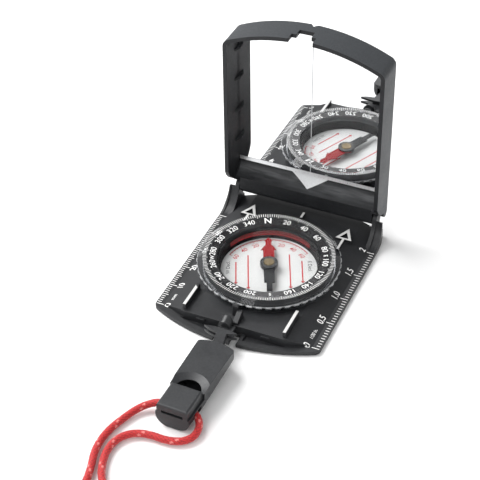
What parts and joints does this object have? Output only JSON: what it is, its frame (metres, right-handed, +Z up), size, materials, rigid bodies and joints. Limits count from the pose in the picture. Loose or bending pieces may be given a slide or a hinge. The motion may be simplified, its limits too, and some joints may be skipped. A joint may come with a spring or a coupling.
{
  "type": "sighting compass",
  "caption": "Sighting compass with a hinged mirror lid, turning bezel, liquid capsule and needle, ruler edges, and a clip-on whistle with a braided lanyard.",
  "frame": {"origin": "underside of the base plate, straight below the needle pivot", "axes": "+Z up, +Y towards the lid hinge, -Y towards the user and the whistle, +X to the right"},
  "size_m": [0.058, 0.1852, 0.0768],
  "materials": {
    "black_plastic": "fine grained",
    "grey_plastic": "satin",
    "clear_acrylic": "clear",
    "white_plastic": "smooth",
    "mirror_glass": "polished",
    "adhesive": "dull",
    "strip_plastic": "satin",
    "steel": "satin",
    "brass": "satin",
    "needle_red": "satin",
    "magnet_steel": "satin",
    "jewel": "polished",
    "seal_rubber": "dull",
    "cord_red": "braided",
    "tie_black": "dull"
  },
  "bodies": {
    "base": {"base_plate": "black_plastic", "hinge_pin_left": "steel", "hinge_pin_right": "steel", "bezel_retainer": "steel", "latch_spring": "steel"},
    "bezel": {"bezel_ring": "clear_acrylic", "capsule_cup": "white_plastic", "capsule_lens": "clear_acrylic", "capsule_seal": "seal_rubber", "fill_plug": "white_plastic", "dial_plate": "white_plastic", "pivot_seat": "brass", "pivot_pin": "steel"},
    "compass_needle": {"needle": "needle_red", "needle_magnet": "magnet_steel", "needle_collar": "black_plastic", "needle_cap": "brass", "needle_jewel": "jewel"},
    "lid": {"lid_shell": "black_plastic", "mirror": "mirror_glass", "mirror_adhesive": "adhesive", "mirror_strip": "strip_plastic"},
    "catch": {"latch_block": "black_plastic"},
    "clip": {"snap_clip": "grey_plastic"},
    "whistle": {"whistle_body": "black_plastic", "whistle_mouthpiece": "grey_plastic", "whistle_pin": "steel", "lanyard_left": "cord_red", "lanyard_right": "cord_red", "lanyard_coil": "cord_red", "lanyard_tie": "tie_black"}
  },
  "joints": [
    {"name": "lid_hinge", "type": "hinge", "parent": "base", "child": "lid", "pos_m": [0, 0.0339, 0.0086], "axis": [-1, 0, 0], "range_deg": [-91, 79]},
    {"name": "bezel_turn", "type": "hinge", "parent": "base", "child": "bezel", "pos_m": [0, 0, 0], "axis": [0, 0, -1], "continuous": true},
    {"name": "needle_swing", "type": "hinge", "parent": "bezel", "child": "compass_needle", "pos_m": [0, 0, 0], "axis": [0, 0, -1], "continuous": true},
    {"name": "catch_press", "type": "slide", "parent": "base", "child": "catch", "axis": [0, 0, -1], "range_m": [0, 0.001], "stiffness_N_per_m": 400, "deforming": ["latch_spring"]},
    {"name": "clip_release", "type": "slide", "parent": "base", "child": "clip", "axis": [0, -1, 0], "range_m": [0, 0.012]},
    {"name": "whistle_swing", "type": "hinge", "parent": "clip", "child": "whistle", "pos_m": [0.00095, -0.0458, 0], "axis": [0, 0, 1], "range_deg": [-20, 20]}
  ]
}
